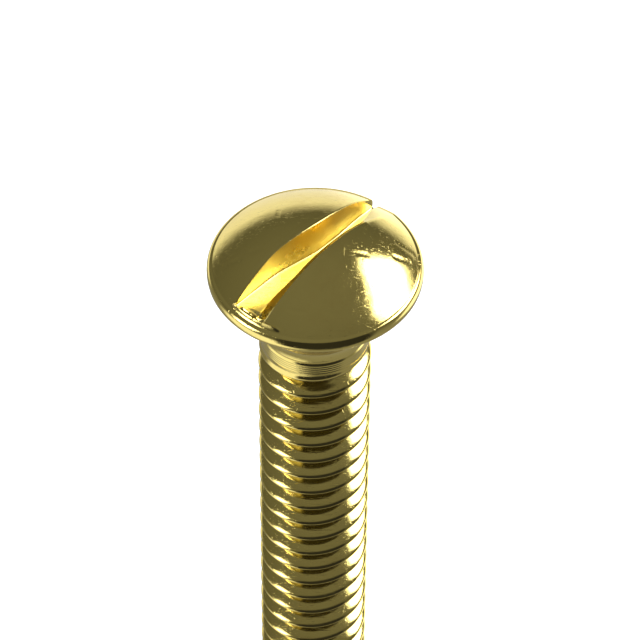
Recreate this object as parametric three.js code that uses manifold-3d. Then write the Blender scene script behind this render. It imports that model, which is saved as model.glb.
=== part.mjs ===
// Slotted raised-countersunk machine screw in brass, No. 10-24 thread, one and a quarter inches
// long.
//
// Frame: the screw's axis is Z. The origin lies on the axis in the rim plane, the plane that
// comes level with the work once the head is seated. +Z points out of the head towards the
// screwdriver, and the shank runs down -Z. Lengths are in millimetres.
//
// The real screw is one piece of brass wire, headed, slotted and threaded. Its working regions
// are modelled as four solids that meet face to face on planes square to the axis: the head,
// the plain neck, the threaded shank and the end point.

import * as THREE from 'three';
import { mergeVertices } from 'three/addons/utils/BufferGeometryUtils.js';
import Module from 'manifold-3d';

// ---- Driving dimensions --------------------------------------------------------------------

const INCH = 25.4;
const FULL_TURN = 2 * Math.PI;

// Thread: UNC form, right hand.
const THREADS_PER_INCH = 24;
const MAJOR_DIAMETER = 4.8;
const THREAD_START_ANGLE = THREE.MathUtils.degToRad(345);
const SCREW_LENGTH = INCH * 1.25;

// Head.
const HEAD_DIAMETER = 8.92;
const DOME_HEIGHT = 1.72;
const DOME_EDGE_DIAMETER = 8.46;
const DOME_EDGE_HEIGHT = 0.3;
const RIM_BAND_HEIGHT = 0.2;
const COUNTERSINK_ANGLE = THREE.MathUtils.degToRad(82);
const UNDERHEAD_FILLET = 1.5;

// Neck.
const NECK_DIAMETER = 4.6;
const NECK_LENGTH = 0.8;

// Screwdriver slot: its floor falls slightly from one end to the other.
const SLOT_WIDTH = 1.36;
const SLOT_DEPTH = 1.66;
const SLOT_OFFSET = 0.08;
const SLOT_AZIMUTH = THREE.MathUtils.degToRad(50);
const SLOT_TILT = THREE.MathUtils.degToRad(4.1);

// End point.
const END_POINT_LENGTH = 0.5;
const END_POINT_DIAMETER = 3.4;
const END_FACE_DIAMETER = 2.6;

// Fineness of the facets.
const HEAD_SEGMENTS = 72;
const DOME_STEPS = 12;
const RIM_STEPS = 4;
const FILLET_STEPS = 5;
const THREAD_COLUMNS = 24;

// ---- Dimensions worked out from them -------------------------------------------------------

const PITCH = INCH / THREADS_PER_INCH;
const SHARP_V_HEIGHT = PITCH * Math.sqrt(3) / 2;
const THREAD_DEPTH = SHARP_V_HEIGHT * 17 / 24;
const MAJOR_RADIUS = MAJOR_DIAMETER / 2;
const MINOR_RADIUS = MAJOR_RADIUS - THREAD_DEPTH;
const FLANK_RISE = THREAD_DEPTH * Math.tan(Math.PI / 6);
const CREST_WIDTH = PITCH / 8;
const ROOT_WIDTH = PITCH - CREST_WIDTH - 2 * FLANK_RISE;

const HEAD_RADIUS = HEAD_DIAMETER / 2;
const NECK_RADIUS = NECK_DIAMETER / 2;
const HALF_COUNTERSINK = COUNTERSINK_ANGLE / 2;
const DOME_EDGE_RADIUS = DOME_EDGE_DIAMETER / 2;
const DOME_SAG = DOME_HEIGHT - DOME_EDGE_HEIGHT;
const DOME_RADIUS = (DOME_EDGE_RADIUS ** 2 + DOME_SAG ** 2) / (2 * DOME_SAG);

// The fillet under the head touches the cone above and the neck below.
const CONE_DROP = (HEAD_RADIUS - NECK_RADIUS) / Math.tan(HALF_COUNTERSINK);
const CONE_MEETS_NECK_Z = -RIM_BAND_HEIGHT - CONE_DROP;
const FILLET_TANGENT = UNDERHEAD_FILLET * Math.tan(HALF_COUNTERSINK / 2);
const HEAD_BOTTOM_Z = CONE_MEETS_NECK_Z - FILLET_TANGENT;
const NECK_BOTTOM_Z = HEAD_BOTTOM_Z - NECK_LENGTH;
const END_FACE_Z = -SCREW_LENGTH;
const THREAD_BOTTOM_Z = END_FACE_Z + END_POINT_LENGTH;

// ---- Outlines -------------------------------------------------------------------------------

// Points of an arc in the radius-height plane, from one angle to another.
function arcPoints(centreRadius, centreZ, radius, fromAngle, toAngle, steps) {
  const points = [];
  for (let step = 0; step <= steps; step += 1) {
    const angle = fromAngle + (toAngle - fromAngle) * step / steps;
    const x = centreRadius + radius * Math.cos(angle);
    const y = centreZ + radius * Math.sin(angle);
    points.push(new THREE.Vector2(x, y));
  }
  return points;
}

// The head's outline, from the middle of its flat underside out and up to the top of the dome.
function headOutline() {
  const outline = [new THREE.Vector2(0, HEAD_BOTTOM_Z)];

  const filletCentreRadius = NECK_RADIUS + UNDERHEAD_FILLET;
  const coneAngle = Math.PI - HALF_COUNTERSINK;
  outline.push(...arcPoints(
    filletCentreRadius, HEAD_BOTTOM_Z, UNDERHEAD_FILLET, Math.PI, coneAngle, FILLET_STEPS,
  ));
  outline.push(new THREE.Vector2(HEAD_RADIUS, -RIM_BAND_HEIGHT));

  // The rim rises straight for a short way, then bulges in to the crease at the dome's edge.
  for (let step = 0; step <= RIM_STEPS; step += 1) {
    const angle = Math.PI / 2 * step / RIM_STEPS;
    const inset = (HEAD_RADIUS - DOME_EDGE_RADIUS) * (1 - Math.cos(angle));
    outline.push(new THREE.Vector2(HEAD_RADIUS - inset, DOME_EDGE_HEIGHT * Math.sin(angle)));
  }
  const domeCentreZ = DOME_HEIGHT - DOME_RADIUS;
  const domeEdgeAngle = Math.atan2(DOME_EDGE_HEIGHT - domeCentreZ, DOME_EDGE_RADIUS);
  const dome = arcPoints(0, domeCentreZ, DOME_RADIUS, domeEdgeAngle, Math.PI / 2, DOME_STEPS);
  outline.push(...dome.slice(1, -1));
  outline.push(new THREE.Vector2(0, DOME_HEIGHT));
  return outline;
}

// A solid of revolution about Z from an outline of radius against height.
function turned(outline) {
  const geometry = new THREE.LatheGeometry(outline, HEAD_SEGMENTS);
  geometry.rotateX(Math.PI / 2);
  return geometry;
}

// ---- Booleans -------------------------------------------------------------------------------

const wasm = await Module();
wasm.setup();

// Merge a geometry's shared vertices by position, as a closed mesh needs.
function weld(geometry) {
  const bare = geometry.clone();
  bare.deleteAttribute('normal');
  bare.deleteAttribute('uv');
  return mergeVertices(bare);
}

function toSolid(geometry) {
  const welded = weld(geometry);
  const vertProperties = new Float32Array(welded.attributes.position.array);
  const triVerts = new Uint32Array(welded.index.array);
  return new wasm.Manifold(new wasm.Mesh({ numProp: 3, vertProperties, triVerts }));
}

function toGeometry(solid) {
  const mesh = solid.getMesh();
  const geometry = new THREE.BufferGeometry();
  geometry.setAttribute('position', new THREE.BufferAttribute(mesh.vertProperties, 3));
  geometry.setIndex(new THREE.BufferAttribute(mesh.triVerts, 1));
  geometry.computeVertexNormals();
  return geometry;
}

// ---- Head -----------------------------------------------------------------------------------

// The block of metal that the slotting saw takes out. It stands on the slot's floor and is
// longer and taller than the head.
function slotCut() {
  const length = HEAD_DIAMETER * 1.5;
  const height = DOME_HEIGHT * 3;
  const block = new THREE.BoxGeometry(length, SLOT_WIDTH, height);
  block.translate(0, SLOT_OFFSET, height / 2);
  block.rotateY(SLOT_TILT);
  block.translate(0, 0, DOME_HEIGHT - SLOT_DEPTH);
  block.rotateZ(SLOT_AZIMUTH);
  return block;
}

function headGeometry() {
  return toGeometry(toSolid(turned(headOutline())).subtract(toSolid(slotCut())));
}

// ---- Neck and end point ---------------------------------------------------------------------

function neckGeometry() {
  return turned([
    new THREE.Vector2(0, NECK_BOTTOM_Z),
    new THREE.Vector2(NECK_RADIUS, NECK_BOTTOM_Z),
    new THREE.Vector2(NECK_RADIUS, HEAD_BOTTOM_Z),
    new THREE.Vector2(0, HEAD_BOTTOM_Z),
  ]);
}

function endPointGeometry() {
  return turned([
    new THREE.Vector2(0, END_FACE_Z),
    new THREE.Vector2(END_FACE_DIAMETER / 2, END_FACE_Z),
    new THREE.Vector2(END_POINT_DIAMETER / 2, THREAD_BOTTOM_Z),
    new THREE.Vector2(0, THREAD_BOTTOM_Z),
  ]);
}

// ---- Threaded shank -------------------------------------------------------------------------

// One pitch of the thread, from the top downwards: how far below the crest's upper edge each
// corner lies, and its radius.
const THREAD_CORNERS = [
  { drop: 0, radius: MAJOR_RADIUS },
  { drop: CREST_WIDTH, radius: MAJOR_RADIUS },
  { drop: CREST_WIDTH + FLANK_RISE, radius: MINOR_RADIUS },
  { drop: CREST_WIDTH + FLANK_RISE + ROOT_WIDTH, radius: MINOR_RADIUS },
];

// The thread fades into the neck over its first turn, and a 45 degree chamfer takes its last
// crests down to the end point.
function shankRadius(profileRadius, z) {
  const fade = THREE.MathUtils.smoothstep(NECK_BOTTOM_Z - z, 0, PITCH);
  const faded = THREE.MathUtils.lerp(NECK_RADIUS, profileRadius, fade);
  const chamfer = END_POINT_DIAMETER / 2 + (z - THREAD_BOTTOM_Z);
  return Math.min(faded, chamfer);
}

// The surface is a sheet whose rows are the four corner lines of the thread. Each row climbs one
// pitch per turn, so the last column joins the first column one pitch of rows further up. Rows
// that run past an end plane are held on it and shrink to that end's ring.
function threadedShankGeometry() {
  const cornerCount = THREAD_CORNERS.length;
  const turns = Math.ceil((NECK_BOTTOM_Z - THREAD_BOTTOM_Z) / PITCH) + 2;
  const rowCount = turns * cornerCount;
  const positions = [];
  for (let row = 0; row < rowCount; row += 1) {
    const corner = THREAD_CORNERS[row % cornerCount];
    const turn = Math.floor(row / cornerCount);
    for (let column = 0; column <= THREAD_COLUMNS; column += 1) {
      const part = column / THREAD_COLUMNS;
      const freeZ = NECK_BOTTOM_Z - corner.drop + PITCH * (part - turn);
      const z = THREE.MathUtils.clamp(freeZ, THREAD_BOTTOM_Z, NECK_BOTTOM_Z);
      const radius = shankRadius(corner.radius, z);
      const round = FULL_TURN * (column % THREAD_COLUMNS) / THREAD_COLUMNS;
      const angle = THREAD_START_ANGLE + round;
      positions.push(radius * Math.cos(angle), radius * Math.sin(angle), z);
    }
  }

  const indices = [];
  const vertexAt = (row, column) => row * (THREAD_COLUMNS + 1) + column;
  for (let row = 0; row + 1 < rowCount; row += 1) {
    for (let column = 0; column < THREAD_COLUMNS; column += 1) {
      const above = vertexAt(row, column);
      const aboveNext = vertexAt(row, column + 1);
      const below = vertexAt(row + 1, column);
      const belowNext = vertexAt(row + 1, column + 1);
      indices.push(above, below, belowNext);
      indices.push(above, belowNext, aboveNext);
    }
  }

  // Flat ends: a fan from the axis to each end ring.
  const topCentre = positions.length / 3;
  positions.push(0, 0, NECK_BOTTOM_Z);
  const bottomCentre = topCentre + 1;
  positions.push(0, 0, THREAD_BOTTOM_Z);
  for (let column = 0; column < THREAD_COLUMNS; column += 1) {
    indices.push(topCentre, vertexAt(0, column), vertexAt(0, column + 1));
    const lastRow = rowCount - 1;
    indices.push(bottomCentre, vertexAt(lastRow, column + 1), vertexAt(lastRow, column));
  }
  return withoutEmptyTriangles(positions, indices);
}

// Weld the sheet and leave out the triangles that shrank to a line where rows meet an end plane.
function withoutEmptyTriangles(positions, indices) {
  const sheet = new THREE.BufferGeometry();
  sheet.setAttribute('position', new THREE.Float32BufferAttribute(positions, 3));
  sheet.setIndex(indices);
  const welded = mergeVertices(sheet);
  const kept = [];
  for (let start = 0; start < welded.index.count; start += 3) {
    const [a, b, c] = [0, 1, 2].map((corner) => welded.index.getX(start + corner));
    if (a !== b && b !== c && c !== a) {
      kept.push(a, b, c);
    }
  }
  welded.setIndex(kept);
  welded.computeVertexNormals();
  return welded;
}

// ---- The screw ------------------------------------------------------------------------------

function brass(name, roughness) {
  return new THREE.MeshStandardMaterial({ name, color: 0xd9bd62, roughness, metalness: 1 });
}

const polishedBrass = brass('polished_brass', 0.18);
const cutBrass = brass('cut_brass', 0.28);

const screw = new THREE.Group();

function addPiece(name, geometry, material) {
  const mesh = new THREE.Mesh(geometry, material);
  mesh.name = name;
  screw.add(mesh);
}

addPiece('head', headGeometry(), polishedBrass);
addPiece('neck', neckGeometry(), polishedBrass);
addPiece('threaded_shank', threadedShankGeometry(), cutBrass);
addPiece('end_point', endPointGeometry(), cutBrass);

export default screw;
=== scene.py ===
# %% [markdown]
# # A slotted brass screw, built as a maker would look at it
# The real screw starts as a piece of brass wire. A die swells one end into a domed head, a
# cutter saws the slot, and the thread is rolled or cut below a short plain neck. The
# imported frame already holds the exact sizes, so this lesson starts by loading it.

import math

import bmesh
import bpy
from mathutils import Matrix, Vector


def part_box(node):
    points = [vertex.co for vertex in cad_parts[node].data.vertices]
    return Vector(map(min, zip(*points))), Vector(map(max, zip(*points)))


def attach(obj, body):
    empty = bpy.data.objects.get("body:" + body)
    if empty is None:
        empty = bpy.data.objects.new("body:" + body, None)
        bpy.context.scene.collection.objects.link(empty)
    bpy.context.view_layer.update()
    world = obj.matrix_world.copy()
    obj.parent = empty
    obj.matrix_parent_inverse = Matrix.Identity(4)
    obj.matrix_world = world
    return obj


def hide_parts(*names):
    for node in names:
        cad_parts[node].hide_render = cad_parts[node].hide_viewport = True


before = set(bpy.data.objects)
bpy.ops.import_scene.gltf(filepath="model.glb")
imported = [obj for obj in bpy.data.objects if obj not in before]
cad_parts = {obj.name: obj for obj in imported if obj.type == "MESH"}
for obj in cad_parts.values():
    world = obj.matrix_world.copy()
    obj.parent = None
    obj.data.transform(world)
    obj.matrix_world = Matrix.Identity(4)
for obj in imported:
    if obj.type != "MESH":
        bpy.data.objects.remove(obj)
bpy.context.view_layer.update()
MM = 0.001

# %% [markdown]
# ## Sizes
# A lathe hand would write these on a drawing: radii and heights in millimetres, with the
# origin on the axis in the plane of the widest ring. Heights that the frame already knows
# are read from it, so the two models can't drift apart.

# %% Sizes of the screw
HEAD_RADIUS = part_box("head")[1].x / MM
HEAD_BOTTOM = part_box("head")[0].z / MM
NECK_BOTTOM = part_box("neck")[0].z / MM
THREAD_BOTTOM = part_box("threaded_shank")[0].z / MM
END_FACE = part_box("end_point")[0].z / MM
NECK_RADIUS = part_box("neck")[1].x / MM

DOME_TOP = 1.72
CREASE_RADIUS = 4.23
CREASE_HEIGHT = 0.30
RIM_BAND = 0.20
HALF_COUNTERSINK = math.radians(41.0)
FILLET = 1.5

SLOT_HEADING = math.radians(50.0)
SLOT_TILT = math.radians(4.1)
SLOT_FLOOR = 0.06
SLOT_NEAR = -0.60

PITCH = 25.4 / 24.0
MAJOR_RADIUS = 2.4
MINOR_RADIUS = MAJOR_RADIUS - PITCH * math.sqrt(3.0) / 2.0 * 17.0 / 24.0

SAG = DOME_TOP - CREASE_HEIGHT
DOME_RADIUS = (CREASE_RADIUS ** 2 + SAG ** 2) / (2.0 * SAG)
DOME_CENTRE = DOME_TOP - DOME_RADIUS
print("head radius", round(HEAD_RADIUS, 3), "dome radius", round(DOME_RADIUS, 3))
print("pitch", round(PITCH, 4), "minor radius", round(MINOR_RADIUS, 4))

# %% [markdown]
# ## Two small helpers
# Every piece below is a list of points and faces. One helper turns the list into a closed,
# outward-facing, smoothly shaded mesh at the origin, and the other blends softly from nought to
# one, which is how worn and rounded edges are drawn here.

# %% Helpers for a finished piece
def ease(value, start, end):
    share = min(1.0, max(0.0, (value - start) / (end - start)))
    return share * share * (3.0 - 2.0 * share)


def bump_at(value, centre, width):
    return math.exp(-((value - centre) / width) ** 2)


def finished_piece(name, points, faces, sharp_degrees, second_finish=()):
    mesh = bpy.data.meshes.new(name)
    mesh.from_pydata([(x * MM, y * MM, z * MM) for x, y, z in points], [], faces)
    for face in second_finish:
        mesh.polygons[face].material_index = 1
    shape = bmesh.new()
    shape.from_mesh(mesh)
    bmesh.ops.remove_doubles(shape, verts=shape.verts, dist=0.0004 * MM)
    bmesh.ops.dissolve_degenerate(shape, edges=shape.edges, dist=0.0002 * MM)
    bmesh.ops.recalc_face_normals(shape, faces=shape.faces)
    open_edges = sum(1 for edge in shape.edges if not edge.is_manifold)
    shape.to_mesh(mesh)
    shape.free()
    mesh.shade_smooth()
    mesh.set_sharp_from_angle(angle=math.radians(sharp_degrees))
    piece = bpy.data.objects.new(name, mesh)
    bpy.context.scene.collection.objects.link(piece)
    triangles = sum(len(face.vertices) - 2 for face in mesh.polygons)
    print(name, "triangles", triangles, "open edges", open_edges)
    return piece


print("halfway through an ease", ease(0.5, 0.0, 1.0))

# %% [markdown]
# ## The head's outline
# Seen from the side the head is a dome that ends at a faint crease, a rounded rim, a narrow
# straight band, a countersink cone and a fillet into the neck. The outline is kept as
# radius-height pairs from the crease down, ready to be carried round the axis.

# %% Outline of the rim, cone and fillet
RIM_STEPS = 8
FILLET_STEPS = 10
CONE_STEPS = 6


def rim_outline():
    outline = []
    for step in range(RIM_STEPS + 1):
        turn = math.pi / 2.0 * (1.0 - step / RIM_STEPS)
        inset = (HEAD_RADIUS - CREASE_RADIUS) * (1.0 - math.cos(turn))
        outline.append((HEAD_RADIUS - inset, CREASE_HEIGHT * math.sin(turn)))
    outline.append((HEAD_RADIUS, -RIM_BAND * 0.5))
    outline.append((HEAD_RADIUS - 0.01, -RIM_BAND * 0.9))
    outline.append((HEAD_RADIUS - 0.04, -RIM_BAND * 1.15))
    centre = NECK_RADIUS + FILLET
    cone_end = (centre - FILLET * math.cos(HALF_COUNTERSINK),
                HEAD_BOTTOM + FILLET * math.sin(HALF_COUNTERSINK))
    cone_start = outline[-1]
    for step in range(1, CONE_STEPS):
        share = step / CONE_STEPS
        outline.append((cone_start[0] + (cone_end[0] - cone_start[0]) * share,
                        cone_start[1] + (cone_end[1] - cone_start[1]) * share))
    for step in range(FILLET_STEPS + 1):
        turn = HALF_COUNTERSINK * (1.0 - step / FILLET_STEPS)
        outline.append((centre - FILLET * math.cos(turn),
                        HEAD_BOTTOM + FILLET * math.sin(turn)))
    return outline


OUTLINE = rim_outline()
print("outline points", len(OUTLINE), "lowest", round(OUTLINE[-1][1], 3))

# %% [markdown]
# ## The sawn slot
# A slotting saw leaves two upright walls and a flat floor. Use and handling then
# round the near edge, fold the lip over at one end and push up a burr at the other. If the top of
# the head were a plain disc of rings, the slot's edges would cut across the rings and look
# ragged. So the top is woven from lines that run along the slot: each line knows how far it lies
# across the slot and how deep it is sunk, and the slot's corners are whole lines.

# %% Lines that run along the slot
ALONG_STEPS = 150
ACROSS_STEP = math.radians(1.6)


def dome_height(along, across):
    return DOME_CENTRE + math.sqrt(max(0.0, DOME_RADIUS ** 2 - along ** 2 - across ** 2))


def floor_height(along):
    return SLOT_FLOOR - math.tan(SLOT_TILT) * along


def crushed(along):
    """How far the near corner is crushed in at the front of the slot, from nought to one."""
    return ease(-along, 1.6, 3.3)


def folded(along):
    """How far the near lip is folded over into the slot at the back, from nought to one."""
    return ease(along, 2.1, 4.4)


def near_edge(along):
    return SLOT_NEAR + 0.13 + 0.30 * crushed(along) + 0.70 * folded(along)


def near_bevel(along):
    return 0.06 + 0.03 * folded(along)


def near_drop(along):
    return 0.15 + 0.26 * crushed(along) + 0.04 * folded(along)


def far_edge(along):
    """The far wall was pressed in past the middle, so the slot is narrower towards the back."""
    return 0.52 + 0.38 * ease(-along, -1.3, 1.9) + 0.08 * ease(along, 1.8, 3.4)


FAR_BEVEL = 0.035
FAR_LEAD = 1.08
DRAFT = 0.025
CORNER = 0.05
NEAR_LEAD = SLOT_NEAR - 0.60
SAWN_REACH = 3.9


def slot_lines():
    lines = []
    for share in (0.0, 0.06, 0.2, 0.45, 0.75, 0.94, 1.0):
        lines.append(("near bevel", share))
    for share in (0.15, 0.4, 0.7, 1.0):
        lines.append(("near wall", share))
    for share in (0.03, 0.1, 0.2, 0.35, 0.5, 0.65, 0.8, 0.9, 0.97):
        lines.append(("floor", share))
    for share in (0.0, 0.3, 0.6, 0.85, 1.0):
        lines.append(("far wall", share))
    for share in (0.3, 0.7, 1.0):
        lines.append(("far bevel", share))
    return lines


def slot_point(kind, share, along):
    """How far across the line lies here, and the height it is sunk to."""
    edge = near_edge(along)
    far = far_edge(along)
    bevel = near_bevel(along)
    top = dome_height(along, 0.0)
    floor = min(floor_height(along), top + 0.3)
    if kind == "near bevel":
        across = edge - (bevel + edge - SLOT_NEAR) * (1.0 - share)
        sunk = near_drop(along) * share
        return across, max(floor, dome_height(along, across) - sunk)
    if kind == "far bevel":
        across = far + FAR_BEVEL * share
        return across, max(floor, dome_height(along, across) - 0.03 * (1.0 - share) ** 2)
    if kind == "near wall":
        across = edge + DRAFT * share
        lip = max(floor, dome_height(along, across) - near_drop(along))
        return across, lip + (floor + CORNER * 0.4 - lip) * share
    if kind == "far wall":
        across = far - DRAFT * (1.0 - share)
        lip = max(floor, dome_height(along, across) - 0.03)
        return across, floor + CORNER * 0.4 + (lip - floor - CORNER * 0.4) * share
    left = edge + DRAFT
    right = far - DRAFT
    across = left + (right - left) * share
    round_up = CORNER * 0.4 * max(0.0, 1.0 - min(across - left, right - across) / CORNER) ** 2
    return across, floor + round_up


print("lines across the slot", len(slot_lines()))

# %% [markdown]
# ## Handling marks on the head
# A brass screw that has been driven once or twice carries dents, a burr where the screwdriver
# has left the slot and short nicks. They are real relief here, a few hundredths of a millimetre,
# so that they also show on the printed shape and catch the light.

# %% Dents, burr and nicks
NICKS = (
    (-0.45, -1.00, 1.10, -1.06, 0.045, 0.020),
    (-2.35, 2.05, -2.75, 2.55, 0.050, -0.030),
    (-1.60, 1.55, -1.90, 1.85, 0.040, -0.022),
    (0.60, -1.60, 0.95, -1.95, 0.050, -0.020),
    (1.90, -2.60, 2.35, -3.10, 0.060, -0.024),
    (2.60, -2.15, 2.90, -2.90, 0.050, -0.022),
    (1.30, -3.00, 1.55, -3.25, 0.050, -0.022),
    (-3.05, -1.35, -2.85, -1.65, 0.050, -0.024),
    (-0.9, -2.2, -0.7, -2.5, 0.040, -0.014),
    (-2.2, -2.4, -2.0, -2.8, 0.040, -0.014),
    (0.2, 2.2, 0.6, 2.5, 0.040, -0.014),
    (1.8, 1.9, 2.1, 2.6, 0.045, -0.014),
)


def nick_height(along, across):
    height = 0.0
    for start_t, start_w, end_t, end_w, width, rise in NICKS:
        run = (end_t - start_t, end_w - start_w)
        length = math.hypot(*run)
        offset = (along - start_t, across - start_w)
        share = (offset[0] * run[0] + offset[1] * run[1]) / length ** 2
        share = min(1.0, max(0.0, share))
        gap = math.hypot(offset[0] - run[0] * share, offset[1] - run[1] * share)
        if gap < 4.0 * width:
            height += rise * bump_at(gap, 0.0, width)
    return height


def burr_height(along, across):
    """The lip that the saw pushed up where the slot runs out at the front of the head."""
    if along > -3.0:
        return 0.0
    radius = math.hypot(along, across)
    reach = ease(across, -1.45, -1.05) * (1.0 - ease(across, 0.86, 1.02))
    outer = 0.13 * bump_at(radius, 4.09, 0.052) * (1.0 - ease(radius, 4.16, 4.23))
    between = ease(across, -0.50, -0.38) * (1.0 - ease(across, 0.60, 0.70))
    inner = 0.12 * bump_at(along, -3.90, 0.060)
    pit = -0.06 * bump_at(along, -3.72, 0.07) * (1.0 - ease(across, -0.1, 0.2))
    return reach * outer + between * (inner + pit)


print("nicks", len(NICKS))

# %% [markdown]
# ## Weaving the top and carrying it down to the neck
# Each line runs from one side of the crease to the other. Their ends, taken in order, go once
# round the head, so the same ends carry the rim, the cone and the fillet down to the neck
# and one last point closes the flat underside. Where the slot runs out through the rim, those
# ends are cut off at the slot's floor, and the notch in the rim appears by itself.

# %% Points of the head's top
SPREAD = 0.55


def slotwise(along, across, height):
    x = along * math.cos(SLOT_HEADING) - across * math.sin(SLOT_HEADING)
    y = along * math.sin(SLOT_HEADING) + across * math.cos(SLOT_HEADING)
    return (x, y, height)


def line_plans():
    """Every line from the near side of the head to the far side: plain dome lines and slot lines."""
    near_start = math.asin(NEAR_LEAD / CREASE_RADIUS)
    far_start = math.asin(FAR_LEAD / CREASE_RADIUS)
    plans = []
    near_steps = max(3, round((near_start + math.pi / 2.0) / ACROSS_STEP))
    for step in range(1, near_steps + 1):
        turn = -math.pi / 2.0 + (near_start + math.pi / 2.0) * step / near_steps
        plans.append(("dome", CREASE_RADIUS * math.sin(turn)))
    for share in (0.35, 0.7):
        plans.append(("near lead", share))
    plans += slot_lines()
    for share in (0.15, 0.35, 0.6, 0.85):
        plans.append(("far lead", share))
    far_steps = max(3, round((math.pi / 2.0 - far_start) / ACROSS_STEP))
    for step in range(far_steps):
        turn = far_start + (math.pi / 2.0 - far_start) * step / far_steps
        plans.append(("dome", CREASE_RADIUS * math.sin(turn)))
    return plans


def plan_point(kind, value, along):
    if kind == "dome":
        across = value
        height = dome_height(along, across)
    elif kind == "near lead":
        across = NEAR_LEAD + (slot_point("near bevel", 0.0, along)[0] - NEAR_LEAD) * value
        height = dome_height(along, across)
    elif kind == "far lead":
        start = far_edge(along) + FAR_BEVEL
        across = start + (FAR_LEAD - start) * value
        height = dome_height(along, across)
    else:
        across, height = slot_point(kind, value, along)
        dome = dome_height(along, across)
        height = min(height, dome)
    return across, height


def line_end(kind, value, side):
    along = side * CREASE_RADIUS
    for _ in range(12):
        across, _height = plan_point(kind, value, along)
        along = side * math.sqrt(max(0.0, CREASE_RADIUS ** 2 - across ** 2))
    return along


def top_height(kind, value, along):
    across, height = plan_point(kind, value, along)
    inside = 1.0 - ease(math.hypot(along, across), 4.02, 4.20)
    height += nick_height(along, across) * inside if "lead" in kind or kind == "dome" else 0.0
    height += burr_height(along, across)
    return across, height


def woven_line(kind, value):
    low = line_end(kind, value, -1.0)
    high = line_end(kind, value, 1.0)
    line = []
    for step in range(ALONG_STEPS + 1):
        even = 2.0 * step / ALONG_STEPS - 1.0
        share = 0.5 + 0.5 * ((1.0 - SPREAD) * even + SPREAD * math.sin(even * math.pi / 2.0))
        along = low + (high - low) * share
        across, height = top_height(kind, value, along)
        line.append((along, across, height))
    return line


PLANS = line_plans()
LINES = [woven_line(kind, value) for kind, value in PLANS]
print("lines on the head", len(LINES), "points", len(LINES) * (ALONG_STEPS + 1))

# %% [markdown]
# ## From the crease down to the neck
# A plain end follows the outline as it is. An end that lies in the slot first runs out along
# the slot's floor until it meets the outline, and only then goes down. Ends on the slot's walls
# are blended between the two, so the notch has upright sides and no gap opens at its corners.

# %% Carry the ends of the lines down to the neck
def cut_outline(across):
    """The outline once the slot has cut it: a run along the floor, then the cone below."""
    for index in range(len(OUTLINE) - 1):
        (r0, z0), (r1, z1) = OUTLINE[index], OUTLINE[index + 1]
        along = math.sqrt(r1 ** 2 - across ** 2)
        if z1 < floor_height(along):
            share = (z0 - floor_height(along)) / (z0 - z1)
            share = min(1.0, max(0.0, share))
            meet = (r0 + (r1 - r0) * share, z0 + (z1 - z0) * share)
            break
    count = max(index + 1, 1)
    cut = []
    for step in range(count + 1):
        share = step / count
        radius = CREASE_RADIUS + (meet[0] - CREASE_RADIUS) * share
        cut.append((radius, floor_height(math.sqrt(radius ** 2 - across ** 2))))
    return cut + OUTLINE[count + 1:]


def rim_column(end, side):
    """The points from one line's end at the crease down to the neck."""
    along, across, height = end
    sunk = CREASE_HEIGHT - height
    depth = CREASE_HEIGHT - floor_height(along)
    share = min(1.0, max(0.0, sunk / depth)) if side > 0.0 and depth > 0.05 else 0.0
    turn = math.atan2(across, along)
    in_notch = abs(across) < 1.2 and side > 0.0
    cut = cut_outline(across) if share > 0.0 else OUTLINE
    column = []
    for index in range(1, len(OUTLINE)):
        radius = OUTLINE[index][0] * (1.0 - share) + cut[index][0] * share
        z = OUTLINE[index][1] * (1.0 - share) + cut[index][1] * share
        angle = turn
        if in_notch and radius > CREASE_RADIUS:
            angle = math.asin(across / radius)
        column.append((radius * math.cos(angle), radius * math.sin(angle), z))
    return column


def loop_ends():
    """The lines' ends in order once round the head, with the two side poles."""
    ends = [((0.0, -CREASE_RADIUS, CREASE_HEIGHT), 0.0, None)]
    for index, line in enumerate(LINES):
        ends.append((line[-1], 1.0, (index, ALONG_STEPS)))
    ends.append(((0.0, CREASE_RADIUS, CREASE_HEIGHT), 0.0, None))
    for index in range(len(LINES) - 1, -1, -1):
        ends.append((LINES[index][0], -1.0, (index, 0)))
    return ends


print("ends round the head", len(loop_ends()))

# %% [markdown]
# ## One closed head
# The lines are joined to their neighbours, the ends become rings that step down to the neck, and
# one last point closes the flat underside. The faces inside the slot are noted on the way,
# because a saw leaves them rougher than the dome and they take a finish of their own.

# %% Join them into the head
def head_mesh():
    points = []
    faces = []
    sawn = []
    row = ALONG_STEPS + 1
    for line in LINES:
        points += [slotwise(*point) for point in line]
    for i in range(len(LINES) - 1):
        kinds = {PLANS[i][0], PLANS[i + 1][0]}
        cut = bool(kinds & {"near wall", "floor", "far wall"})
        for j in range(ALONG_STEPS):
            a = i * row + j
            if cut and abs(LINES[i][j][0]) < SAWN_REACH:
                sawn.append(len(faces))
            faces.append((a, a + 1, a + row + 1, a + row))
    ends = loop_ends()
    first_pole = len(points)
    points.append(slotwise(*ends[0][0]))
    second_pole = len(points)
    points.append(slotwise(0.0, CREASE_RADIUS, CREASE_HEIGHT))
    last = (len(LINES) - 1) * row
    for j in range(ALONG_STEPS):
        faces.append((first_pole, j + 1, j))
        faces.append((second_pole, last + j, last + j + 1))
    rim = []
    for end, side, place in ends:
        if place is None:
            rim.append(first_pole if end[1] < 0.0 else second_pole)
        else:
            rim.append(place[0] * row + place[1])
    previous = rim
    columns = [rim_column(end, side) for end, side, _place in ends]
    for level in range(len(OUTLINE) - 1):
        ring = []
        for column in columns:
            ring.append(len(points))
            points.append(slotwise(*column[level]))
        for k in range(len(ring)):
            n = (k + 1) % len(ring)
            faces.append((previous[k], previous[n], ring[n], ring[k]))
        previous = ring
    middle = len(points)
    points.append((0.0, 0.0, HEAD_BOTTOM))
    for k in range(len(previous)):
        faces.append((previous[k], previous[(k + 1) % len(previous)], middle))
    return points, faces, sawn


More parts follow.
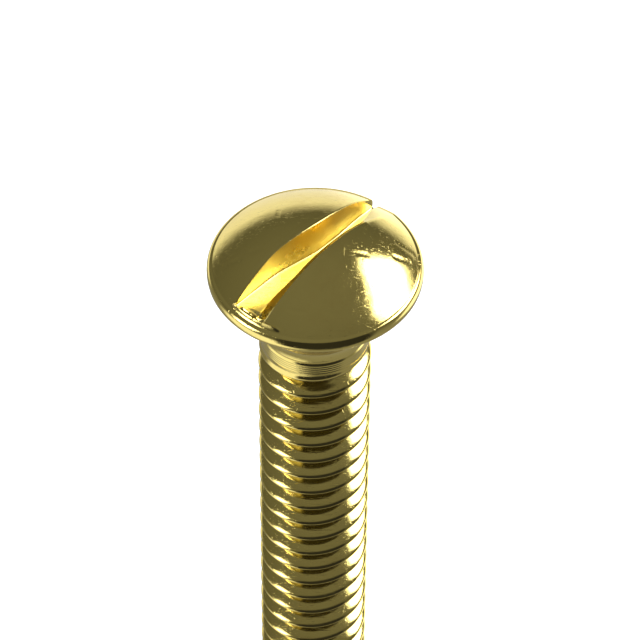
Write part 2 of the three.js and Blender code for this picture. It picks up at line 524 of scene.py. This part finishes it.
head_points, head_faces, sawn_faces = head_mesh()
head = finished_piece("brass_head", head_points, head_faces, 32.0, sawn_faces)

# %% [markdown]
# ## The plain neck
# Between the head and the thread the wire is left plain, with the faint rings of the turning
# tool and one shallow groove where the die let go. A profile carried round the axis, as on a
# lathe, is the plainest way to make it, and a modifier isn't needed for so small a piece.

# %% Turn the neck and the end point
TURNED_SIDES = 96


def turned(outline):
    points = [(0.0, 0.0, outline[0][1])]
    faces = []
    for radius, z in outline:
        for side in range(TURNED_SIDES):
            turn = 2.0 * math.pi * side / TURNED_SIDES
            points.append((radius * math.cos(turn), radius * math.sin(turn), z))
    points.append((0.0, 0.0, outline[-1][1]))
    for side in range(TURNED_SIDES):
        n = (side + 1) % TURNED_SIDES
        faces.append((0, 1 + side, 1 + n))
        for ring in range(len(outline) - 1):
            a = 1 + ring * TURNED_SIDES
            b = a + TURNED_SIDES
            faces.append((a + side, b + side, b + n, a + n))
        a = 1 + (len(outline) - 1) * TURNED_SIDES
        faces.append((a + n, a + side, len(points) - 1))
    return points, faces


def neck_outline():
    outline = []
    steps = 26
    for step in range(steps + 1):
        z = HEAD_BOTTOM + (NECK_BOTTOM - HEAD_BOTTOM) * step / steps
        groove = 0.035 * bump_at(z, HEAD_BOTTOM - 0.16, 0.05)
        rings = 0.004 * (1.0 + math.sin(z * 52.0)) * ease(HEAD_BOTTOM - z, 0.0, 0.15)
        outline.append((NECK_RADIUS - groove - rings, z))
    return outline


neck = finished_piece("plain_neck", *turned(neck_outline()), 50.0)

END_RADIUS = 1.70
END_FACE_RADIUS = 1.30
end_outline = [(END_RADIUS, THREAD_BOTTOM), (1.50, END_FACE + 0.29), (1.34, END_FACE + 0.05)]
end_outline += [(END_FACE_RADIUS, END_FACE), (0.9, END_FACE), (0.4, END_FACE)]
end_point = finished_piece("end_point_chamfer", *turned(end_outline), 30.0)

# %% [markdown]
# ## Brass, made from nodes
# Brass is a pure metal surface, so its colour is the colour of its reflections. What makes it
# look handled is small: patches a little redder where it has tarnished, a roughness that
# changes from place to place, hair scratches in several directions, tiny pits and a faint
# waviness from tumbling. Each finish below is one recipe with its own amounts.

# %% Recipe for a brass finish
POLISHED_COLOUR = (0.88, 0.72, 0.235, 1.0)
TARNISHED_COLOUR = (0.68, 0.47, 0.13, 1.0)
PER_MM = 1000.0


def link(tree, source, target):
    tree.links.new(source, target)


def noise(tree, vector, scale, detail, roughness, stretch=None, turn=0.0):
    node = tree.nodes.new("ShaderNodeTexNoise")
    node.inputs["Scale"].default_value = scale
    node.inputs["Detail"].default_value = detail
    node.inputs["Roughness"].default_value = roughness
    if stretch is not None:
        mapping = tree.nodes.new("ShaderNodeMapping")
        mapping.inputs["Scale"].default_value = stretch
        mapping.inputs["Rotation"].default_value = (0.3 * turn, 0.2 * turn, turn)
        link(tree, vector, mapping.inputs["Vector"])
        vector = mapping.outputs["Vector"]
    link(tree, vector, node.inputs["Vector"])
    return node.outputs["Fac"]


def ranged(tree, value, low, high, to_low, to_high):
    node = tree.nodes.new("ShaderNodeMapRange")
    node.inputs["From Min"].default_value = low
    node.inputs["From Max"].default_value = high
    node.inputs["To Min"].default_value = to_low
    node.inputs["To Max"].default_value = to_high
    link(tree, value, node.inputs["Value"])
    return node.outputs["Result"]


def combined(tree, operation, first, second):
    node = tree.nodes.new("ShaderNodeMath")
    node.operation = operation
    for socket, value in zip(node.inputs, (first, second)):
        if isinstance(value, (int, float)):
            socket.default_value = value
        else:
            link(tree, value, socket)
    return node.outputs["Value"]


def tinted(tree, share, first, second):
    node = tree.nodes.new("ShaderNodeMix")
    node.data_type = "RGBA"
    colours = [socket for socket in node.inputs if socket.type == "RGBA"]
    for socket, value in zip(colours, (first, second)):
        if isinstance(value, tuple):
            socket.default_value = value
        else:
            link(tree, value, socket)
    link(tree, share, node.inputs["Factor"])
    return [socket for socket in node.outputs if socket.type == "RGBA"][0]


def brass(name, tarnish, smooth, rough, scratch_depth, wave_depth, pit_depth):
    material = bpy.data.materials.new(name)
    material.use_nodes = True
    tree = material.node_tree
    shader = tree.nodes["Principled BSDF"]
    shader.inputs["Metallic"].default_value = 1.0
    place = tree.nodes.new("ShaderNodeTexCoord").outputs["Object"]

    patches = noise(tree, place, 0.35 * PER_MM, 5.0, 0.6)
    specks = noise(tree, place, 3.2 * PER_MM, 4.0, 0.65)
    tarnished = combined(tree, "MULTIPLY", ranged(tree, patches, 0.42, 0.72, 0.0, 1.0),
                         ranged(tree, specks, 0.35, 0.75, 0.25, 1.0))
    tarnished = combined(tree, "MULTIPLY", tarnished, tarnish)
    colour = tinted(tree, tarnished, POLISHED_COLOUR, TARNISHED_COLOUR)
    link(tree, colour, shader.inputs["Base Color"])

    scratches = None
    for turn, stretch in ((0.5, (0.5, 9.0, 9.0)), (1.9, (0.4, 11.0, 11.0)),
                          (2.8, (8.0, 0.5, 8.0)), (4.0, (0.3, 13.0, 13.0))):
        hair = noise(tree, place, 1.3 * PER_MM, 2.0, 0.5, stretch, turn)
        hair = ranged(tree, hair, 0.66, 0.76, 0.0, 1.0)
        scratches = hair if scratches is None else combined(tree, "MAXIMUM", scratches, hair)

    rubbed = ranged(tree, noise(tree, place, 0.8 * PER_MM, 6.0, 0.62), 0.35, 0.7, smooth, rough)
    roughness = combined(tree, "ADD", rubbed, combined(tree, "MULTIPLY", scratches, 0.10))
    roughness = combined(tree, "ADD", roughness, combined(tree, "MULTIPLY", tarnished, 0.08))
    link(tree, roughness, shader.inputs["Roughness"])

    pits = tree.nodes.new("ShaderNodeTexVoronoi")
    pits.inputs["Scale"].default_value = 2.6 * PER_MM
    pits.inputs["Randomness"].default_value = 1.0
    link(tree, place, pits.inputs["Vector"])
    pit = ranged(tree, pits.outputs["Distance"], 0.04, 0.16, -1.0, 0.0)
    some = ranged(tree, noise(tree, place, 0.9 * PER_MM, 2.0, 0.5), 0.5, 0.6, 0.0, 1.0)
    pit = combined(tree, "MULTIPLY", pit, some)
    wave = noise(tree, place, 0.9 * PER_MM, 2.0, 0.5)
    height = combined(tree, "MULTIPLY", wave, wave_depth)
    mottle = noise(tree, place, 4.5 * PER_MM, 3.0, 0.6)
    height = combined(tree, "ADD", height, combined(tree, "MULTIPLY", mottle, wave_depth * 0.16))
    height = combined(tree, "ADD", height, combined(tree, "MULTIPLY", pit, pit_depth))
    depth = combined(tree, "MULTIPLY", scratches, -scratch_depth)
    height = combined(tree, "ADD", height, depth)
    relief = tree.nodes.new("ShaderNodeBump")
    relief.inputs["Strength"].default_value = 1.0
    relief.inputs["Distance"].default_value = MM
    link(tree, height, relief.inputs["Height"])
    link(tree, relief.outputs["Normal"], shader.inputs["Normal"])
    print(name, "nodes", len(tree.nodes))
    return material


polished_brass = brass("polished_brass_head", 0.45, 0.06, 0.14, 0.0016, 0.013, 0.004)
sawn_brass = brass("sawn_brass_slot", 0.15, 0.24, 0.38, 0.0060, 0.010, 0.002)
neck_brass = brass("turned_brass_neck", 0.30, 0.10, 0.18, 0.0020, 0.006, 0.002)
cut_brass = brass("cut_brass_thread", 0.40, 0.07, 0.15, 0.0020, 0.008, 0.003)
head.data.materials.append(polished_brass)
head.data.materials.append(sawn_brass)
neck.data.materials.append(neck_brass)
end_point.data.materials.append(cut_brass)

# %% [markdown]
# ## The thread, by rule
# A thread is the best case for Geometry Nodes, because one rule draws all of it. A flat grid
# is rolled into a tube whose rows climb one pitch in every turn, as the real helix does. The
# distance of a row from the middle of the nearest crest gives its radius: full at the crest,
# worn round at its edges, falling along the thirty-degree flank, and level in the root. Rows that
# climb above the top plane, or below the bottom one, are pressed flat onto it, and the first and
# last rows shrink to a point, which closes the two ends.

# %% Node helpers for the thread
def number_input(tree, name, kind="NodeSocketFloat"):
    return tree.interface.new_socket(name=name, in_out="INPUT", socket_type=kind)


def thread_tree():
    tree = bpy.data.node_groups.new("rolled_thread", "GeometryNodeTree")
    tree.interface.new_socket(name="Geometry", in_out="INPUT", socket_type="NodeSocketGeometry")
    tree.interface.new_socket(name="Geometry", in_out="OUTPUT", socket_type="NodeSocketGeometry")
    for name in ("Columns", "Rows", "Rows per pitch"):
        number_input(tree, name, "NodeSocketInt")
    for name in ("Pitch", "Crest radius", "Root radius", "Crest wear", "Neck radius",
                 "Tip radius", "Top", "Bottom", "Start angle"):
        number_input(tree, name)
    number_input(tree, "Finish", "NodeSocketMaterial")
    inputs = tree.nodes.new("NodeGroupInput").outputs
    leave = tree.nodes.new("NodeGroupOutput")

    def calc(operation, *values):
        node = tree.nodes.new("ShaderNodeMath")
        node.operation = operation
        for socket, value in zip(node.inputs, values):
            if isinstance(value, (int, float)):
                socket.default_value = value
            else:
                tree.links.new(value, socket)
        return node.outputs["Value"]

    grid = tree.nodes.new("GeometryNodeMeshGrid")
    grid.inputs["Size X"].default_value = 1.0
    grid.inputs["Size Y"].default_value = 1.0
    tree.links.new(calc("ADD", inputs["Columns"], 1.0), grid.inputs["Vertices X"])
    tree.links.new(inputs["Rows"], grid.inputs["Vertices Y"])
    place = tree.nodes.new("ShaderNodeSeparateXYZ")
    tree.links.new(tree.nodes.new("GeometryNodeInputPosition").outputs[0], place.inputs[0])

    round_share = calc("ADD", place.outputs["X"], 0.5)
    last_row = calc("SUBTRACT", inputs["Rows"], 1.0)
    row = calc("MULTIPLY", calc("ADD", place.outputs["Y"], 0.5), last_row)
    turns = calc("DIVIDE", calc("SUBTRACT", row, 1.5), inputs["Rows per pitch"])
    climb = calc("MULTIPLY", calc("SUBTRACT", round_share, turns), inputs["Pitch"])
    height = calc("MINIMUM", calc("ADD", inputs["Top"], climb), inputs["Top"])
    height = calc("MAXIMUM", height, inputs["Bottom"])

    from_crest = calc("ABSOLUTE", calc("SUBTRACT", calc("FRACT", turns), 0.5))
    from_crest = calc("MULTIPLY", from_crest, inputs["Pitch"])
    slope = calc("SUBTRACT", from_crest, calc("DIVIDE", inputs["Pitch"], 16.0))
    slope = calc("MULTIPLY", slope, math.sqrt(3.0))
    worn = calc("POWER", inputs["Crest wear"], 2.0)
    below = calc("SQRT", calc("ADD", calc("MULTIPLY", slope, slope), worn))
    below = calc("MULTIPLY", calc("ADD", slope, below), 0.5)
    flat = calc("MULTIPLY", inputs["Pitch"], math.sqrt(3.0) / 16.0)
    at_crest = calc("SQRT", calc("ADD", calc("MULTIPLY", flat, flat), worn))
    at_crest = calc("MULTIPLY", calc("SUBTRACT", at_crest, flat), 0.5)
    below = calc("MAXIMUM", calc("SUBTRACT", below, at_crest), 0.0)
    radius = calc("MAXIMUM", calc("SUBTRACT", inputs["Crest radius"], below),
                  inputs["Root radius"])

    grown = calc("DIVIDE", calc("SUBTRACT", inputs["Top"], height), inputs["Pitch"])
    fade = tree.nodes.new("ShaderNodeMapRange")
    fade.interpolation_type = "SMOOTHSTEP"
    tree.links.new(grown, fade.inputs["Value"])
    drop = calc("SUBTRACT", radius, inputs["Neck radius"])
    radius = calc("ADD", inputs["Neck radius"], calc("MULTIPLY", drop, fade.outputs["Result"]))
    tip = calc("ADD", inputs["Tip radius"], calc("SUBTRACT", height, inputs["Bottom"]))
    radius = calc("MINIMUM", radius, tip)
    inner = calc("GREATER_THAN", row, 0.5)
    inner = calc("MULTIPLY", inner, calc("LESS_THAN", row, calc("SUBTRACT", last_row, 0.5)))
    radius = calc("MULTIPLY", radius, inner)

    angle = calc("MULTIPLY_ADD", round_share, 2.0 * math.pi, inputs["Start angle"])
    rolled = tree.nodes.new("ShaderNodeCombineXYZ")
    tree.links.new(calc("MULTIPLY", radius, calc("COSINE", angle)), rolled.inputs["X"])
    tree.links.new(calc("MULTIPLY", radius, calc("SINE", angle)), rolled.inputs["Y"])
    tree.links.new(height, rolled.inputs["Z"])
    roll = tree.nodes.new("GeometryNodeSetPosition")
    tree.links.new(grid.outputs["Mesh"], roll.inputs["Geometry"])
    tree.links.new(rolled.outputs[0], roll.inputs["Position"])

    merge = tree.nodes.new("GeometryNodeMergeByDistance")
    merge.inputs["Distance"].default_value = 0.0004 * MM
    realize = tree.nodes.new("GeometryNodeRealizeInstances")
    finish = tree.nodes.new("GeometryNodeSetMaterial")
    tree.links.new(roll.outputs["Geometry"], merge.inputs["Geometry"])
    tree.links.new(merge.outputs["Geometry"], realize.inputs["Geometry"])
    tree.links.new(realize.outputs["Geometry"], finish.inputs["Geometry"])
    tree.links.new(inputs["Finish"], finish.inputs["Material"])
    tree.links.new(finish.outputs["Geometry"], leave.inputs["Geometry"])
    print("thread tree nodes", len(tree.nodes))
    return tree


# %% [markdown]
# ## Rolling it out
# The rule gets the drawing's sizes and is then frozen into a plain mesh, so that a reader who
# opens the piece finds points and faces and nothing waiting to be worked out. Twenty-four rows
# to a pitch are enough to keep the worn crest round.

# %% Roll the thread and keep it as a plain mesh
THREAD_START = math.radians(187.5)
ROWS_PER_PITCH = 24
CREST_WEAR = 0.13
TURNS = (NECK_BOTTOM - THREAD_BOTTOM) / PITCH + 1.0


def plain_mesh_of(grower):
    """The grown shape as a plain mesh with its normals recalculated, and no modifier left."""
    seen = grower.evaluated_get(bpy.context.evaluated_depsgraph_get())
    mesh = bpy.data.meshes.new_from_object(seen)
    grower.modifiers.clear()
    shape = bmesh.new()
    shape.from_mesh(mesh)
    bmesh.ops.dissolve_degenerate(shape, edges=shape.edges, dist=0.0002 * MM)
    bmesh.ops.recalc_face_normals(shape, faces=shape.faces)
    open_edges = sum(1 for edge in shape.edges if not edge.is_manifold)
    shape.to_mesh(mesh)
    shape.free()
    mesh.shade_smooth()
    mesh.set_sharp_from_angle(angle=math.radians(75.0))
    grower.data = mesh
    triangles = sum(len(face.vertices) - 2 for face in mesh.polygons)
    print(grower.name, "triangles", triangles, "open edges", open_edges)
    return grower


def rolled_thread():
    thread = bpy.data.objects.new("rolled_thread", bpy.data.meshes.new("rolled_thread"))
    bpy.context.scene.collection.objects.link(thread)
    grow = thread.modifiers.new("thread", "NODES")
    tree = thread_tree()
    grow.node_group = tree
    sizes = {
        "Columns": 96, "Rows": math.ceil(TURNS * ROWS_PER_PITCH) + 5,
        "Rows per pitch": ROWS_PER_PITCH, "Pitch": PITCH * MM,
        "Crest radius": MAJOR_RADIUS * MM, "Root radius": MINOR_RADIUS * MM,
        "Crest wear": CREST_WEAR * MM,
        "Neck radius": NECK_RADIUS * MM, "Tip radius": END_RADIUS * MM,
        "Top": NECK_BOTTOM * MM, "Bottom": THREAD_BOTTOM * MM,
        "Start angle": THREAD_START, "Finish": cut_brass,
    }
    for socket in tree.interface.items_tree:
        if socket.in_out == "INPUT" and socket.name in sizes:
            grow[socket.identifier] = sizes[socket.name]
    return plain_mesh_of(thread)


thread = rolled_thread()

# %% [markdown]
# ## Join the pieces to the frame
# Each piece stands for one solid of the frame and rides on its only body, and the frame's own
# solid is hidden.

# %% Ride the root body and hide the frame's solids
for piece, node, finish_slot in (
    (head, "head", "polished_brass"),
    (neck, "neck", "polished_brass"),
    (thread, "threaded_shank", "cut_brass"),
    (end_point, "end_point", "cut_brass"),
):
    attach(piece, "root")
    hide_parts(node)

# %% [markdown]
# ## Floor and light
# A pale sheet of card carries the screw on its tip, and two big soft lamps light it from above
# and from the side. The card and the lamps are hidden from reflections, because the studio in
# the next step gives the brass all that it mirrors.

# %% Pale floor
def pale_floor():
    reach = 0.6
    mesh = bpy.data.meshes.new("pale_card")
    corners = [(-reach, -reach), (reach, -reach), (reach, reach), (-reach, reach)]
    mesh.from_pydata([(x, y, END_FACE * MM) for x, y in corners], [], [(0, 1, 2, 3)])
    floor = bpy.data.objects.new("pale_card", mesh)
    bpy.context.scene.collection.objects.link(floor)
    card = bpy.data.materials.new("pale_card")
    card.use_nodes = True
    shader = card.node_tree.nodes["Principled BSDF"]
    shader.inputs["Base Color"].default_value = (0.90, 0.90, 0.90, 1.0)
    shader.inputs["Roughness"].default_value = 0.9
    shader.inputs["Specular IOR Level"].default_value = 0.1
    mesh.materials.append(card)
    floor.visible_glossy = False
    return floor


floor = pale_floor()


def soft_lamp(name, place, size, power):
    lamp = bpy.data.lights.new(name, "AREA")
    lamp.shape = "DISK"
    lamp.size = size
    lamp.energy = power
    holder = bpy.data.objects.new(name, lamp)
    holder.location = place
    holder.rotation_mode = "QUATERNION"
    holder.rotation_quaternion = (-Vector(place)).to_track_quat("-Z", "Y")
    holder.visible_glossy = False
    holder.visible_camera = False
    bpy.context.scene.collection.objects.link(holder)
    return holder


soft_lamp("overhead_softbox", (0.10, 0.10, 1.10), 1.4, 13.0)
soft_lamp("side_softbox", (0.9, -0.2, 0.7), 0.8, 4.0)

# %% [markdown]
# ## What the brass mirrors
# Polished metal only looks like metal when it has something bright and something dark to mirror.
# This is a plain product studio: a grey that fades upwards, a soft box on each side, a white
# card behind, a black card in front, and two pale areas low down where a floor would be. Each
# card is a direction, a half width, a half height and a softness in degrees, and its light.

# %% The studio that the brass mirrors
BACKDROP = (0.93, 0.93, 0.93, 1.0)
GRADIENT = (
    (0.00, (0.30, 0.30, 0.28)),
    (0.50, (0.20, 0.20, 0.18)),
    (0.65, (0.12, 0.12, 0.10)),
    (1.00, (0.18, 0.18, 0.16)),
)
PANELS = (
    ("far card", 90, -10, 60, 20, 8, (1.0, 1.0, 1.0)),
    ("floor on the left", 220, -30, 40, 25, 8, (1.2, 1.2, 1.2)),
    ("floor on the right", 40, -20, 40, 20, 8, (1.8, 1.8, 1.8)),
    ("dark card", 280, 0, 45, 50, 6, (0.03, 0.03, 0.03)),
    ("left soft box", 200, 25, 10, 15, 5, (6.0, 6.0, 6.0)),
    ("right soft box", 20, 40, 20, 14, 5, (8.0, 8.0, 8.0)),
)


def heading(azimuth, elevation):
    a = math.radians(azimuth)
    e = math.radians(elevation)
    return Vector((math.cos(e) * math.cos(a), math.cos(e) * math.sin(a), math.sin(e)))


def panel_group():
    """Share of a flat panel that a direction sees: one inside, nought outside, soft between."""
    group = bpy.data.node_groups.new("studio_panel", "ShaderNodeTree")
    for name in ("Direction", "Facing", "Right", "Up"):
        group.interface.new_socket(name=name, in_out="INPUT", socket_type="NodeSocketVector")
    for name in ("Half width", "Half height", "Softness"):
        group.interface.new_socket(name=name, in_out="INPUT", socket_type="NodeSocketFloat")
    group.interface.new_socket(name="Share", in_out="OUTPUT", socket_type="NodeSocketFloat")
    inputs = group.nodes.new("NodeGroupInput").outputs
    leave = group.nodes.new("NodeGroupOutput")

    def along(axis):
        node = group.nodes.new("ShaderNodeVectorMath")
        node.operation = "DOT_PRODUCT"
        link(group, inputs["Direction"], node.inputs[0])
        link(group, inputs[axis], node.inputs[1])
        return node.outputs["Value"]

    ahead = along("Facing")
    safe = combined(group, "MAXIMUM", ahead, 0.02)
    share = combined(group, "GREATER_THAN", ahead, 0.02)
    for axis, half in (("Right", "Half width"), ("Up", "Half height")):
        offset = combined(group, "ARCTANGENT", combined(group, "DIVIDE", along(axis), safe), 0.0)
        gap = combined(group, "SUBTRACT", combined(group, "ABSOLUTE", offset, 0.0), inputs[half])
        edge = group.nodes.new("ShaderNodeMapRange")
        edge.interpolation_type = "SMOOTHSTEP"
        edge.inputs["From Min"].default_value = -1.0
        edge.inputs["To Min"].default_value = 1.0
        edge.inputs["To Max"].default_value = 0.0
        link(group, combined(group, "DIVIDE", gap, inputs["Softness"]), edge.inputs["Value"])
        share = combined(group, "MULTIPLY", share, edge.outputs["Result"])
    link(group, share, leave.inputs["Share"])
    return group


def studio_world():
    world = bpy.data.worlds.new("studio")
    bpy.context.scene.world = world
    world.use_nodes = True
    tree = world.node_tree
    background = tree.nodes["Background"]
    direction = tree.nodes.new("ShaderNodeTexCoord").outputs["Generated"]
    split = tree.nodes.new("ShaderNodeSeparateXYZ")
    link(tree, direction, split.inputs[0])
    level = ranged(tree, split.outputs["Z"], -1.0, 1.0, 0.0, 1.0)
    ramp = tree.nodes.new("ShaderNodeValToRGB")
    stops = ramp.color_ramp.elements
    while len(stops) < len(GRADIENT):
        stops.new(0.5)
    for stop, (position, colour) in zip(stops, GRADIENT):
        stop.position = position
        stop.color = (*colour, 1.0)
    link(tree, level, ramp.inputs["Fac"])
    colour = ramp.outputs["Color"]
    group = panel_group()
    for name, azimuth, elevation, width, height, soft, light in PANELS:
        facing = heading(azimuth, elevation)
        right = Vector((math.sin(math.radians(azimuth)), -math.cos(math.radians(azimuth)), 0.0))
        panel = tree.nodes.new("ShaderNodeGroup")
        panel.node_tree = group
        panel.label = name
        link(tree, direction, panel.inputs["Direction"])
        panel.inputs["Facing"].default_value = facing
        panel.inputs["Right"].default_value = right
        panel.inputs["Up"].default_value = right.cross(facing)
        panel.inputs["Half width"].default_value = math.radians(width)
        panel.inputs["Half height"].default_value = math.radians(height)
        panel.inputs["Softness"].default_value = math.radians(soft)
        colour = tinted(tree, panel.outputs["Share"], colour, (*light, 1.0))
    straight = tree.nodes.new("ShaderNodeLightPath").outputs["Is Camera Ray"]
    link(tree, tinted(tree, straight, colour, BACKDROP), background.inputs["Color"])
    print("studio panels", len(PANELS))


studio_world()

# %% [markdown]
# ## Camera
# A long lens looks down on the head from the front, at about forty-eight degrees, and leans by
# less than half a degree. From there the rim's oval, the spacing of the thread and the slight
# narrowing down the shank are all in proportion.

# %% Camera
AIM = Vector((0.21, 0.0, -3.19)) * MM
CAMERA_DISTANCE = 142.96 * MM
CAMERA_ELEVATION = math.radians(47.97)
CAMERA_ROLL = math.radians(0.4)
CAMERA_LENS = 192.8


def front_camera():
    data = bpy.data.cameras.new("front_camera")
    data.sensor_width = 36.0
    data.lens = CAMERA_LENS
    data.clip_start = 0.01
    data.clip_end = 5.0
    camera = bpy.data.objects.new("front_camera", data)
    back = Vector((0.0, -math.cos(CAMERA_ELEVATION), math.sin(CAMERA_ELEVATION)))
    camera.location = AIM + back * CAMERA_DISTANCE
    turn = (-back).to_track_quat("-Z", "Y")
    camera.rotation_euler = turn.to_euler()
    camera.rotation_euler.rotate_axis("Z", CAMERA_ROLL)
    bpy.context.scene.collection.objects.link(camera)
    bpy.context.scene.camera = camera
    return camera


camera = front_camera()
bpy.context.scene.view_settings.view_transform = "Standard"
print("camera at mm", [round(v / MM, 2) for v in camera.location])
